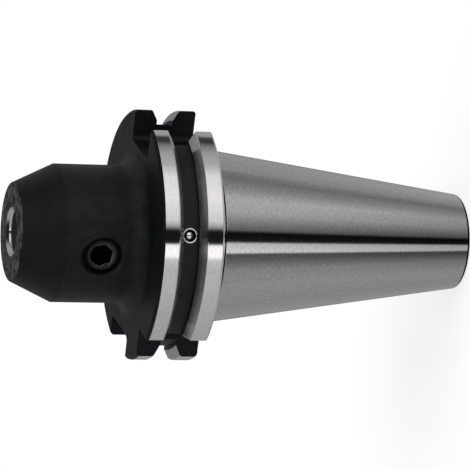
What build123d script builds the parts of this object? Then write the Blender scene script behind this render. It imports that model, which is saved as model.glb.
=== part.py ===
from build123d import *
import os
from math import cos, radians, sin, sqrt, tan

os.makedirs("parts", exist_ok=True)

# Side lock end mill holder with a 7:24 steep taper of size 40, in millimetres.
# The origin is the centre of the gauge plane. +Z runs along the axis to the nose,
# +X points at the first drive keyway, and the clamp screw comes in from -Y.

# Taper shank
gauge_diameter = 44.45
taper_rate = 7 / 24
taper_length = 68.4
small_end_chamfer = 0.4
neck_undercut = 0.5

# Gripper flange
flange_diameter = 63.55
flange_gap = 3.2
flange_thickness = 15.9
flange_rear_chamfer = 0.5
flange_front_chamfer = 0.7

# V groove in the flange, with a square relief in its floor
groove_height = 11.1
groove_mouth_width = 7.08
groove_included_angle = 60
relief_width = 4.1
relief_depth = 3.65

# Drive keyways and the orientation notch, with depths in from the rim's radius
keyway_width = 16.1
keyway_depth_front = 8.975
keyway_depth_back = 6.775
keyway_corner_radius = 1.4
notch_depth = 13.275
notch_corner_radius = 0.8
wall_edge_break = 0.3

# Nose
projection = 50.0
nose_diameter = 35.0
face_diameter = 25.0
nose_cone_length = 10.5
face_edge_break = 0.3
shoulder_radius = 4.5

# Tool bore and its lead-in
tool_diameter = 10.0
tool_bore_depth = 45.0
mouth_diameter = 12.4
mouth_depth = 1.1
coolant_bore_diameter = 7.0
drill_point_angle = 118

# Pull stud hole
pull_stud_core_diameter = 13.9
pull_stud_drill_depth = 43.0
pilot_diameter = 17.0
pilot_depth = 7.0
pilot_lead = 0.8

# Clamp screw, an M10 set screw with a flat point
clamp_diameter = 9.75
clamp_clearance = 0.05
clamp_length = 10.0
clamp_from_face = 20.0
clamp_lift = 0.7
clamp_chamfer = 1.15
clamp_countersink_diameter = 11.8
clamp_socket = 5.0
clamp_socket_depth = 4.6
clamp_socket_turn = 22
socket_lead = 0.2
socket_lead_angle = 30

# Cross drillings for coolant and the expander plugs that close them
coolant_azimuths = (-70, 110)
cross_drill_diameter = 3.0
plug_diameter = 4.0
plug_length = 3.6
plug_recess = 0.12
plug_edge_break = 0.12
plug_floor = 0.3
ball_diameter = 2.96
ball_clearance = 0.02

# Coolant inlets in the rear face and the M4 set screws that close them
inlet_screw_diameter = 3.9
inlet_screw_clearance = 0.05
inlet_screw_length = 4.0
inlet_screw_recess = 0.3
inlet_screw_chamfer = 0.4
inlet_socket = 2.0
inlet_socket_depth = 2.0

# Heights along the axis that the sizes above give
small_end = -taper_length
flange_rear = flange_gap
flange_front = flange_rear + flange_thickness
cone_start = projection - nose_cone_length
clamp_height = projection - clamp_from_face

# Radii that the sizes above give
gauge_radius = gauge_diameter / 2
small_end_radius = gauge_radius - taper_length * taper_rate / 2
neck_floor_radius = gauge_radius - neck_undercut
flange_radius = flange_diameter / 2
relief_radius = flange_radius - relief_depth
keyway_floor_front = flange_radius - keyway_depth_front
keyway_floor_back = flange_radius - keyway_depth_back
notch_offset = flange_radius - notch_depth
inlet_radius = (neck_floor_radius + relief_radius) / 2
nose_radius = nose_diameter / 2
face_radius = face_diameter / 2
clamp_radius = clamp_diameter / 2

# The flanks run in from the rim until they meet the walls of the relief
flank_run = tan(radians(groove_included_angle / 2))
flank_foot_radius = flange_radius - (groove_mouth_width - relief_width) / 2 / flank_run

# A cubic curve with handles this long follows the shoulder's quarter circle
shoulder_handle = shoulder_radius * 4 / 3 * (sqrt(2) - 1)

lead_slope = tan(radians(socket_lead_angle))

# How far a cut runs past the surface that it opens
overcut = 2.0


def drill_point(radius):
    """Length of a drill's cone at this radius."""
    return radius / tan(radians(drill_point_angle / 2))


def taper_radius(height):
    """Radius of the shank's taper at a height below the gauge plane."""
    return gauge_radius + height * taper_rate / 2


def groove_side(sign):
    """Points of one side of the V groove, from the rim inwards."""
    rim = groove_height + sign * groove_mouth_width / 2
    foot = groove_height + sign * relief_width / 2
    return [
        (flange_radius, rim),
        (flank_foot_radius, foot),
        (relief_radius, foot),
    ]


def mouth_height(half_width):
    """Distance from the axis to the flange's rim, this far to one side."""
    return sqrt(flange_radius**2 - half_width**2)


def keyway_outline(floor, side):
    """Outline of a keyway that opens towards +X or -X, with its rim edges broken."""
    half = keyway_width / 2
    rim = mouth_height(half) - wall_edge_break
    outline = [
        (floor, -half),
        (rim, -half),
        (rim + overcut, -half - overcut),
        (rim + overcut, half + overcut),
        (rim, half),
        (floor, half),
    ]
    return [(side * x, y) for x, y in outline]


# Holder body: one turned blank with its bores, then the milled and drilled cuts
front_chamfer_start = flange_front - flange_front_chamfer
rear_chamfer_end = flange_rear + flange_rear_chamfer
with BuildPart() as holder_body:
    with BuildSketch(Plane.XZ):
        with BuildLine():
            Polyline(
                (0, small_end),
                (small_end_radius - small_end_chamfer, small_end),
                (taper_radius(small_end + small_end_chamfer), small_end + small_end_chamfer),
                (gauge_radius, 0),
                (neck_floor_radius, neck_undercut),
                (neck_floor_radius, flange_rear),
                (flange_radius - flange_rear_chamfer, flange_rear),
                (flange_radius, rear_chamfer_end),
                *groove_side(-1),
                *reversed(groove_side(1)),
                (flange_radius, front_chamfer_start),
                (flange_radius - flange_front_chamfer, flange_front),
                (nose_radius + shoulder_radius, flange_front),
            )
            Bezier(
                (nose_radius + shoulder_radius, flange_front),
                (nose_radius + shoulder_radius - shoulder_handle, flange_front),
                (nose_radius, flange_front + shoulder_radius - shoulder_handle),
                (nose_radius, flange_front + shoulder_radius),
            )
            Polyline(
                (nose_radius, flange_front + shoulder_radius),
                (nose_radius, cone_start),
                (face_radius, projection - face_edge_break),
                (face_radius - face_edge_break, projection),
                (0, projection),
                (0, small_end),
            )
        make_face()
    revolve(axis=Axis.Z)

    # Tool bore, coolant bore and pull stud hole, turned from both ends
    tool_radius = tool_diameter / 2
    coolant_radius = coolant_bore_diameter / 2
    core_radius = pull_stud_core_diameter / 2
    pilot_radius = pilot_diameter / 2
    bore_end = projection - tool_bore_depth
    bore_point = drill_point(tool_radius) - drill_point(coolant_radius)
    core_end = small_end + pull_stud_drill_depth
    core_point = drill_point(core_radius) - drill_point(coolant_radius)
    with BuildSketch(Plane.XZ):
        with BuildLine():
            Polyline(
                (0, projection),
                (mouth_diameter / 2, projection),
                (tool_radius, projection - mouth_depth),
                (tool_radius, bore_end),
                (coolant_radius, bore_end - bore_point),
                (coolant_radius, core_end + core_point),
                (core_radius, core_end),
                (core_radius, small_end + pilot_depth),
                (pilot_radius, small_end + pilot_depth),
                (pilot_radius, small_end + pilot_lead),
                (pilot_radius + pilot_lead, small_end),
                (0, small_end),
                close=True,
            )
        make_face()
    revolve(axis=Axis.Z, mode=Mode.SUBTRACT)

    # Drive keyways, one on each side, through the whole flange
    for floor, side in ((keyway_floor_front, 1), (keyway_floor_back, -1)):
        with BuildSketch(Plane.XY.offset(flange_rear)) as keyway:
            with BuildLine():
                Polyline(*keyway_outline(floor, side), close=True)
            make_face()
            inner = keyway.vertices().sort_by(Axis.X)[:: side][:2]
            fillet(inner, radius=keyway_corner_radius)
        extrude(amount=flange_thickness, mode=Mode.SUBTRACT)

    # Orientation notch, a square corner milled through both rims
    notch_rim = mouth_height(notch_offset) - wall_edge_break
    with BuildSketch(Plane.XY.offset(flange_rear)) as notch:
        with BuildLine():
            Polyline(
                (-notch_offset, -notch_offset),
                (-notch_offset, -notch_rim),
                (-notch_offset + overcut, -notch_rim - overcut),
                (-notch_rim - overcut, -notch_rim - overcut),
                (-notch_rim - overcut, -notch_offset + overcut),
                (-notch_rim, -notch_offset),
                close=True,
            )
        make_face()
        corner = notch.vertices().sort_by_distance((-notch_offset, -notch_offset, flange_rear))[0]
        fillet(corner, radius=notch_corner_radius)
    extrude(amount=flange_thickness, mode=Mode.SUBTRACT)

    # Threaded hole for the clamp screw, with a countersunk mouth
    clamp_hole_radius = clamp_radius + clamp_clearance
    clamp_sink_radius = clamp_countersink_diameter / 2
    clamp_plane = Plane(origin=(0, 0, clamp_height), x_dir=(1, 0, 0), z_dir=(0, -1, 0))
    with BuildSketch(clamp_plane):
        Circle(clamp_hole_radius)
    extrude(amount=nose_radius + overcut, mode=Mode.SUBTRACT)
    sink_depth = clamp_sink_radius - clamp_hole_radius
    with BuildSketch(Plane(origin=(0, 0, clamp_height), x_dir=(0, 0, 1), z_dir=(1, 0, 0))):
        with BuildLine():
            Polyline(
                (0, nose_radius - sink_depth),
                (clamp_hole_radius, nose_radius - sink_depth),
                (clamp_sink_radius + overcut, nose_radius + overcut),
                (0, nose_radius + overcut),
                close=True,
            )
        make_face()
    revolve(
        axis=Axis((0, 0, clamp_height), (0, 1, 0)),
        mode=Mode.SUBTRACT,
    )

    # Cross drillings from the groove's floor, and the inlets that feed them
    plug_face = relief_radius - plug_recess
    plug_seat = plug_face - plug_length
    for azimuth in coolant_azimuths:
        outward = (cos(radians(azimuth)), sin(radians(azimuth)), 0)
        with BuildSketch(Plane(origin=(0, 0, groove_height), z_dir=outward)):
            Circle(cross_drill_diameter / 2)
        extrude(amount=plug_seat, mode=Mode.SUBTRACT)
        seat_point = (plug_seat * outward[0], plug_seat * outward[1], groove_height)
        with BuildSketch(Plane(origin=seat_point, z_dir=outward)):
            Circle(plug_diameter / 2)
        extrude(amount=relief_radius - plug_seat + plug_edge_break, mode=Mode.SUBTRACT)
        inlet_place = (inlet_radius * outward[0], inlet_radius * outward[1])
        with BuildSketch(Plane.XY.offset(flange_rear)):
            with Locations(inlet_place):
                Circle(inlet_screw_diameter / 2 + inlet_screw_clearance)
        extrude(amount=groove_height - flange_rear, mode=Mode.SUBTRACT)
holder_body.part.label = "holder_body"
export_step(holder_body.part, "parts/holder_body.step")


# Clamp screw: its point is clear of the tool bore and its rim sits below the nose
clamp_tip = tool_radius + clamp_lift
clamp_top = clamp_tip + clamp_length
clamp_lead_radius = clamp_socket / sqrt(3) + socket_lead
with BuildPart() as clamp_screw:
    with BuildSketch(Plane(origin=(0, -clamp_tip, clamp_height), z_dir=(0, -1, 0))):
        Circle(clamp_radius)
    extrude(amount=clamp_length)
    chamfer(clamp_screw.edges().filter_by(GeomType.CIRCLE), length=clamp_chamfer)
    socket_plane = Plane(origin=(0, -clamp_top, clamp_height), x_dir=(0, 0, 1), z_dir=(0, -1, 0))
    with BuildSketch(socket_plane):
        RegularPolygon(
            radius=clamp_socket / 2,
            side_count=6,
            major_radius=False,
            rotation=clamp_socket_turn,
        )
    extrude(amount=-clamp_socket_depth, mode=Mode.SUBTRACT)
    with BuildSketch(Plane(origin=(0, 0, clamp_height), x_dir=(0, 0, 1), z_dir=(1, 0, 0))):
        with BuildLine():
            Polyline(
                (0, clamp_top - clamp_lead_radius * lead_slope),
                (clamp_lead_radius + overcut, clamp_top + overcut * lead_slope),
                (0, clamp_top + overcut * lead_slope),
                close=True,
            )
        make_face()
    revolve(axis=Axis((0, 0, clamp_height), (0, 1, 0)), mode=Mode.SUBTRACT)
clamp_screw.part.label = "clamp_screw"
export_step(clamp_screw.part, "parts/clamp_screw.step")


# Expander plugs: a sleeve pressed into each cross drilling and the ball that spreads it
ball_radius = ball_diameter / 2
ball_bore_radius = ball_radius + ball_clearance
ball_centre = plug_seat + plug_floor + ball_radius
for number, azimuth in enumerate(coolant_azimuths, start=1):
    outward = (cos(radians(azimuth)), sin(radians(azimuth)), 0)
    seat_point = (plug_seat * outward[0], plug_seat * outward[1], groove_height)
    bore_point_place = (
        (plug_seat + plug_floor) * outward[0],
        (plug_seat + plug_floor) * outward[1],
        groove_height,
    )
    with BuildPart() as sleeve:
        with BuildSketch(Plane(origin=seat_point, z_dir=outward)):
            Circle(plug_diameter / 2)
        extrude(amount=plug_length)
        with BuildSketch(Plane(origin=bore_point_place, z_dir=outward)):
            Circle(ball_bore_radius)
        extrude(amount=plug_length, mode=Mode.SUBTRACT)
        rims = sleeve.edges().filter_by(GeomType.CIRCLE).sort_by(Axis((0, 0, 0), outward))
        chamfer(rims[-2:].sort_by(SortBy.LENGTH)[-1], length=plug_edge_break)
    sleeve.part.label = f"expander_sleeve_{number}"
    export_step(sleeve.part, f"parts/{sleeve.part.label}.step")

    with BuildPart() as ball:
        with Locations((ball_centre * outward[0], ball_centre * outward[1], groove_height)):
            Sphere(radius=ball_radius)
    ball.part.label = f"expander_ball_{number}"
    export_step(ball.part, f"parts/{ball.part.label}.step")


# Coolant screws: short set screws, sockets outwards, in the flange's rear face
inlet_face = flange_rear + inlet_screw_recess
for number, azimuth in enumerate(coolant_azimuths, start=1):
    inlet_place = (inlet_radius * cos(radians(azimuth)), inlet_radius * sin(radians(azimuth)))
    with BuildPart() as coolant_screw:
        with BuildSketch(Plane.XY.offset(inlet_face)):
            with Locations(inlet_place):
                Circle(inlet_screw_diameter / 2)
        extrude(amount=inlet_screw_length)
        rims = coolant_screw.edges().filter_by(GeomType.CIRCLE).sort_by(Axis.Z)
        chamfer(rims[0], length=inlet_screw_chamfer)
        with BuildSketch(Plane.XY.offset(inlet_face)):
            with Locations(inlet_place):
                RegularPolygon(radius=inlet_socket / 2, side_count=6, major_radius=False)
        extrude(amount=inlet_socket_depth, mode=Mode.SUBTRACT)
    coolant_screw.part.label = f"coolant_screw_{number}"
    export_step(coolant_screw.part, f"parts/{coolant_screw.part.label}.step")
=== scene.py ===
"""Looks of a side lock end mill holder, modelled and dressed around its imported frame.

The holder stands on the small end of its shank. Its axis is Z, the gauge plane is at the
origin, +X points at the first drive keyway and the clamp screw comes in from -Y.
"""

import logging
from collections.abc import Callable
from dataclasses import dataclass
from enum import Enum
from math import cos, hypot, pi, radians, sin, sqrt, tan

import bmesh
import bpy
from mathutils import Matrix, Vector


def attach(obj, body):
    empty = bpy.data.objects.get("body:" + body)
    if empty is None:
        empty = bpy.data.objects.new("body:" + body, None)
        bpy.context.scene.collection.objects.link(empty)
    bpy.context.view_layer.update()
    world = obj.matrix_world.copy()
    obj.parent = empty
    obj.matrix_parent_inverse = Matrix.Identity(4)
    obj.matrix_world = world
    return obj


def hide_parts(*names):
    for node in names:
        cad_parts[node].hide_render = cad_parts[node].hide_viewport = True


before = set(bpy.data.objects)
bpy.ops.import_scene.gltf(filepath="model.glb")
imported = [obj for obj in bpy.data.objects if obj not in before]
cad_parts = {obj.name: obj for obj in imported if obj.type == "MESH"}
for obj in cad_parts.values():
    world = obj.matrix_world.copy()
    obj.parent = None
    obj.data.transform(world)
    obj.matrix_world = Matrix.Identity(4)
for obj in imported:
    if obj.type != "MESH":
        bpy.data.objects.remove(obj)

log = logging.getLogger("holder")

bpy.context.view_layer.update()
MM = 0.001
TURNING_STEPS = 256
CUTTER_STEPS = 8
SMOOTH_ANGLE = radians(32)
# Corners closer than this, in millimetres, are the same corner
WELD = 0.001
# Corners closer than this, in millimetres, become one after deburring
SLIVER = 0.022

Colour = tuple[float, float, float]
Socket = bpy.types.NodeSocket


class Body(Enum):
    """The bodies that pieces ride on."""

    HOLDER = "holder"
    CLAMP_SCREW = "clamp_screw"


class Slot(Enum):
    """The record's material slots."""

    HOLDER = "holder_steel"
    SCREW = "screw_steel"
    PLUG = "plug_steel"
    BALL = "ball_steel"


class Surface(Enum):
    """Places of the body's finishes in its list of materials."""

    TURNED = 0
    RIM = 1
    FLANK = 2
    TAPER = 3
    BORED = 4
    FACED = 5
    GROOVE = 6
    MILLED = 7
    CONE = 8
    MOUTH = 9
    END_CHAMFER = 10


class ScrewSurface(Enum):
    """Places of a set screw's finishes in its list of materials."""

    THREAD = 0
    SOCKET = 1
    LEAD_IN = 2


class Marks(Enum):
    """What a surface's fine lines change with."""

    HEIGHT = "the height, so they run round the axis"
    RADIUS = "the distance from the axis, so they run upright on a flat beside it"


class Keep(Enum):
    """What a piece keeps where another shape is taken to it."""

    OUTSIDE = "DIFFERENCE"
    SHARED = "INTERSECT"


# Modelling by hand


def clear_selection() -> None:
    """Go back to object mode with nothing selected."""
    if bpy.context.object and bpy.context.object.mode != "OBJECT":
        bpy.ops.object.mode_set(mode="OBJECT")
    bpy.ops.object.select_all(action="DESELECT")


def take(piece: bpy.types.Object) -> None:
    """Select one piece alone and make it the active one.

    Args:
        piece: The piece.
    """
    clear_selection()
    piece.select_set(True)
    bpy.context.view_layer.objects.active = piece


@dataclass(frozen=True)
class Corner:
    """A corner of a turned outline, in millimetres.

    Attributes:
        radius: Distance from the axis.
        height: Place along the axis.
        fillet: Radius that rounds the corner.
        steps: Facets of that round.
    """

    radius: float
    height: float
    fillet: float = 0.0
    steps: int = 3


def rounded(corners: list[Corner]) -> list[tuple[float, float]]:
    """Replace each corner that has a fillet by points on its arc.

    Args:
        corners: The outline's corners in order, open at both ends.

    Returns:
        Points (radius, height) of the rounded outline.
    """
    points = []
    for index, corner in enumerate(corners):
        here = Vector((corner.radius, corner.height))
        if corner.fillet == 0 or index in (0, len(corners) - 1):
            points.append(tuple(here))
            continue
        before = corners[index - 1]
        after = corners[index + 1]
        back = (Vector((before.radius, before.height)) - here).normalized()
        ahead = (Vector((after.radius, after.height)) - here).normalized()
        half = back.angle(ahead) / 2
        centre = here + (back + ahead).normalized() * corner.fillet / sin(half)
        start = here + back * corner.fillet / tan(half) - centre
        end = here + ahead * corner.fillet / tan(half) - centre
        turn = start.angle(end)
        for step in range(corner.steps + 1):
            share = step / corner.steps
            arm = (sin((1 - share) * turn) * start + sin(share * turn) * end) / sin(turn)
            points.append(tuple(centre + arm))
    return points


def turned(name: str, corners: list[Corner], steps: int = TURNING_STEPS) -> bpy.types.Object:
    """Turn a piece on Z: a circle is extruded and resized from corner to corner.

    An end on the axis is drawn together to a point. Ends off the axis are joined to each
    other, which makes the section of a hollow piece.

    Args:
        name: The piece's name.
        corners: Its outline in millimetres, with the first corner off the axis.
        steps: Facets round the axis.

    Returns:
        The piece, closed and with its normals outwards.
    """
    points = rounded(corners)
    radius, height = points[0]
    clear_selection()
    bpy.ops.mesh.primitive_circle_add(
        vertices=steps, radius=radius * MM, fill_type="NOTHING", location=(0, 0, height * MM)
    )
    piece = bpy.context.object
    piece.name = piece.data.name = name
    bpy.ops.object.transform_apply(location=True)
    bpy.ops.object.mode_set(mode="EDIT")
    bpy.ops.mesh.select_all(action="SELECT")
    hollow = points[-1][0] > 0
    for next_radius, next_height in points[1:] + points[:1] * hollow:
        lift = (0, 0, (next_height - height) * MM)
        bpy.ops.mesh.extrude_region_move(TRANSFORM_OT_translate={"value": lift})
        if next_radius == 0:
            bpy.ops.mesh.merge(type="CENTER")
            break
        share = next_radius / radius
        bpy.ops.transform.resize(value=(share, share, 1), center_override=(0, 0, 0))
        radius, height = next_radius, next_height
    bpy.ops.mesh.select_all(action="SELECT")
    bpy.ops.mesh.remove_doubles(threshold=WELD * MM)
    if not hollow:
        bpy.ops.mesh.select_all(action="DESELECT")
        bpy.ops.mesh.select_non_manifold()
        bpy.ops.mesh.fill()
    bpy.ops.mesh.select_all(action="SELECT")
    bpy.ops.mesh.normals_make_consistent(inside=False)
    clear_selection()
    return piece


def placed(piece: bpy.types.Object, place: Matrix) -> bpy.types.Object:
    """Move a piece to its place and leave that place in its mesh.

    Args:
        piece: The piece, made at the origin.
        place: Where it goes, in metres.

    Returns:
        The same piece.
    """
    take(piece)
    piece.matrix_world = place
    bpy.ops.object.transform_apply(location=True, rotation=True, scale=True)
    clear_selection()
    return piece


def modify(piece: bpy.types.Object, kind: str, **fields) -> None:
    """Add a modifier to a piece and apply it.

    Args:
        piece: The piece.
        kind: The modifier's kind.
        **fields: Its fields.
    """
    take(piece)
    bpy.ops.object.modifier_add(type=kind)
    modifier = piece.modifiers[-1]
    for name, value in fields.items():
        setattr(modifier, name, value)
    bpy.ops.object.modifier_apply(modifier=modifier.name)


def cut_with(piece: bpy.types.Object, other: bpy.types.Object, keep: Keep = Keep.OUTSIDE) -> None:
    """Cut a piece with another, or keep what they share, and delete the other.

    Args:
        piece: The piece that stays.
        other: The closed shape that cuts it.
        keep: What is left of the piece.
    """
    modify(piece, "BOOLEAN", operation=keep.value, solver="EXACT", object=other)
    bpy.data.objects.remove(other)
    clear_selection()


def block(
    low: Vector, high: Vector, corner_radius: float, corner_edges: Callable[[Vector], bool]
) -> bpy.types.Object:
    """A milling cut: a block with some of its upright edges rounded.

    Args:
        low: Its lowest corner in millimetres.
        high: Its highest corner in millimetres.
        corner_radius: Radius of the rounded edges in millimetres.
        corner_edges: Test that takes an upright edge's centre in millimetres and tells
            whether the cutter's radius shows there.

    Returns:
        The block.
    """
    clear_selection()
    bpy.ops.mesh.primitive_cube_add(size=1, location=(low + high) / 2 * MM, scale=(high - low) * MM)
    cut = bpy.context.object
    bpy.ops.object.transform_apply(location=True, scale=True)
    bpy.ops.object.mode_set(mode="EDIT")
    bpy.ops.mesh.select_mode(type="EDGE")
    bpy.ops.mesh.select_all(action="DESELECT")
    shape = bmesh.from_edit_mesh(cut.data)
    for edge in shape.edges:
        start, end = (vertex.co / MM for vertex in edge.verts)
        upright = abs(start.z - end.z) > (high.z - low.z) / 2
        edge.select_set(upright and corner_edges((start + end) / 2))
    bmesh.update_edit_mesh(cut.data)
    bpy.ops.mesh.bevel(offset=corner_radius * MM, segments=CUTTER_STEPS)
    bpy.ops.mesh.select_mode(type="VERT")
    clear_selection()
    return cut


def break_edges(piece: bpy.types.Object, width: float) -> None:
    """Round every sharp edge of a piece a little, as its deburring does.

    Args:
        piece: The piece.
        width: Width of the rounds in millimetres.
    """
    modify(
        piece,
        "BEVEL",
        width=width * MM,
        segments=2,
        limit_method="ANGLE",
        angle_limit=SMOOTH_ANGLE,
        use_clamp_overlap=False,
        miter_outer="MITER_ARC",
    )
    bpy.ops.object.mode_set(mode="EDIT")
    bpy.ops.mesh.select_all(action="SELECT")
    bpy.ops.mesh.remove_doubles(threshold=SLIVER * MM)
    clear_selection()


def finish_shading(piece: bpy.types.Object) -> None:
    """Shade a piece smooth between its sharp edges, with its large faces kept true.

    Args:
        piece: The piece.
    """
    take(piece)
    bpy.ops.object.shade_smooth_by_angle(angle=SMOOTH_ANGLE)
    modify(piece, "WEIGHTED_NORMAL", keep_sharp=True, weight=100)
    clear_selection()


# Finishes


class Nodes:
    """Short hand for a tree of shader nodes."""

    def __init__(self, tree: bpy.types.NodeTree) -> None:
        """Take the tree to work on."""
        self.tree = tree

    def add(self, kind: str, **fields) -> bpy.types.Node:
        """Add a node.

        Args:
            kind: Its kind.
            **fields: Its fields.

        Returns:
            The node.
        """
        node = self.tree.nodes.new(kind)
        for name, value in fields.items():
            setattr(node, name, value)
        return node

    def link(self, source: Socket, target: Socket) -> None:
        """Join two sockets."""
        self.tree.links.new(source, target)

    def result(self, operation: str, first: Socket, second: Socket | float) -> Socket:
        """Work out a value from two others.

        Args:
            operation: What is done with them.
            first: The first value.
            second: The second value, which may be a plain number.

        Returns:
            The worked out value.
        """
        node = self.add("ShaderNodeMath", operation=operation)
        self.link(first, node.inputs[0])
        if isinstance(second, float):
            node.inputs[1].default_value = second
        else:
            self.link(second, node.inputs[1])
        return node.outputs["Value"]

    def ranged(
        self, value: Socket, low: float, high: float, at: tuple = (0.3, 0.7), **fields
    ) -> Socket:
        """Map a value between two levels to the range from low to high.

        Args:
            value: The value.
            low: The result at the first level.
            high: The result at the second level.
            at: The two levels. Beyond them the result stays the same.
            **fields: Fields of the node, such as its interpolation.

        Returns:
            The mapped value.
        """
        ranged = self.add("ShaderNodeMapRange", **fields)
        for name, level in zip(("From Min", "From Max", "To Min", "To Max"), (*at, low, high)):
            ranged.inputs[name].default_value = level
        self.link(value, ranged.inputs["Value"])
        return ranged.outputs["Result"]

    def blended(self, share: Socket, first: Socket | Colour, second: Socket | Colour) -> Socket:
        """Blend two colours.

        Args:
            share: The second colour's part, from 0 to 1.
            first: The first colour, as a socket or plain.
            second: The second colour, as a socket or plain.

        Returns:
            The blended colour.
        """
        mix = self.add("ShaderNodeMix", data_type="RGBA")
        self.link(share, mix.inputs["Factor"])
        for name, colour in (("A", first), ("B", second)):
            if isinstance(colour, tuple):
                mix.inputs[name].default_value = (*colour, 1)
            else:
                self.link(colour, mix.inputs[name])
        return mix.outputs["Result"]

    def layered(self, share: Socket, under: Socket, over: Socket) -> Socket:
        """Lay one shader over another.

        Args:
            share: The upper shader's part, from 0 to 1.
            under: The lower shader.
            over: The upper shader.

        Returns:
            Both together.
        """
        mix = self.add("ShaderNodeMixShader")
        for place, source in enumerate((share, under, over)):
            self.link(source, mix.inputs[place])
        return mix.outputs["Shader"]

    def around(self, place: Socket) -> tuple[Socket, Socket]:
        """Find a place's turn about Z, from -pi to pi, and its height."""
        split = self.add("ShaderNodeSeparateXYZ")
        self.link(place, split.inputs["Vector"])
        return self.result("ARCTAN2", split.outputs["Y"], split.outputs["X"]), split.outputs["Z"]


class MaterialNodes(Nodes):
    """Short hand for a material's nodes.

    Attributes:
        material: The material.
        shader: Its own shader.
        place: The place on the piece.
        turn: The place's turn about the axis.
        height: The place's height.
        radius: The place's distance from the axis.
    """

    def __init__(self, name: str) -> None:
        """Start a material with its shader and its output joined.

        Args:
            name: The material's name.
        """
        self.material = bpy.data.materials.new(name)
        self.material.use_nodes = True
        super().__init__(self.material.node_tree)
        self.shader = self.tree.nodes["Principled BSDF"]
        self.place = self.add("ShaderNodeTexCoord").outputs["Object"]
        self.turn, self.height = self.around(self.place)
        flat = self.add("ShaderNodeVectorMath", operation="MULTIPLY")
        flat.inputs[1].default_value = (1, 1, 0)
        self.link(self.place, flat.inputs[0])
        length = self.add("ShaderNodeVectorMath", operation="LENGTH")
        self.link(flat.outputs["Vector"], length.inputs[0])
        self.radius = length.outputs["Value"]

    def set(self, **values) -> None:
        """Set the shader's own sockets, where a name's underscores are spaces."""
        for name, value in values.items():
            self.shader.inputs[name.replace("_", " ")].default_value = value

    def coat(self, colour: Socket, roughness: Socket) -> None:
        """Give the shader its colour and its roughness."""
        self.link(colour, self.shader.inputs["Base Color"])
        self.link(roughness, self.shader.inputs["Roughness"])

    def noise(self, place: Socket, scale: float, detail: float = 3.0, roughness: float = 0.6) -> Socket:
        """Noise at a place.

        Args:
            place: The place.
            scale: Patches in a metre.
            detail: Finer layers of noise in it.
            roughness: How strong the finer layers are.

        Returns:
            The noise, from 0 to 1.
        """
        noise = self.add("ShaderNodeTexNoise")
        for name, value in (("Scale", scale), ("Detail", detail), ("Roughness", roughness)):
            noise.inputs[name].default_value = value
        self.link(place, noise.inputs["Vector"])
        return noise.outputs["Fac"]

    def shared(self, first: Socket, second: Socket, share: float) -> Socket:
        """Blend two values.

        Args:
            first: The first value.
            second: The second value.
            share: The second value's part.

        Returns:
            The blended value.
        """
        mix = self.add("ShaderNodeMix", data_type="FLOAT")
        mix.inputs["Factor"].default_value = share
        self.link(first, mix.inputs["A"])
        self.link(second, mix.inputs["B"])
        return mix.outputs["Result"]

    def rings(self, across: Socket, waver: float) -> Socket:
        """A place that makes noise into lines, as it hardly changes along them.

        Args:
            across: The value that changes from line to line.
            waver: How much the turn about the axis breaks the lines up.

        Returns:
            The place.
        """
        place = self.add("ShaderNodeCombineXYZ")
        self.link(across, place.inputs["X"])
        self.link(self.result("MULTIPLY", self.turn, waver), place.inputs["Y"])
        return place.outputs["Vector"]

    def marks(self, marks: Marks, pitch: float, detail: float = 1.0, waver: float = 0.0003) -> Socket:
        """Fine lines that a cutter or a wheel leaves.

        Args:
            marks: What they change with.
            pitch: Distance between them in millimetres.
            detail: Finer layers of lines in them.
            waver: How much the turn about the axis breaks them up.

        Returns:
            Their height, from 0 to 1.
        """
        across = self.height if marks is Marks.HEIGHT else self.radius
        return self.noise(self.rings(across, waver), 1 / (pitch * MM), detail)

    def bump(self, height: Socket, depth: float, strength: float = 1.0) -> None:
        """Raise the surface on top of earlier bumps.

        Args:
            height: The relief, from 0 to 1.
            depth: Its depth in millimetres.
            strength: How much of it shows.
        """
        bump = self.add("ShaderNodeBump")
        bump.inputs["Distance"].default_value = depth * MM
        bump.inputs["Strength"].default_value = strength
        self.link(height, bump.inputs["Height"])
        earlier = self.shader.inputs["Normal"]
        if earlier.is_linked:
            self.link(earlier.links[0].from_socket, bump.inputs["Normal"])
        self.link(bump.outputs["Normal"], earlier)


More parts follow.
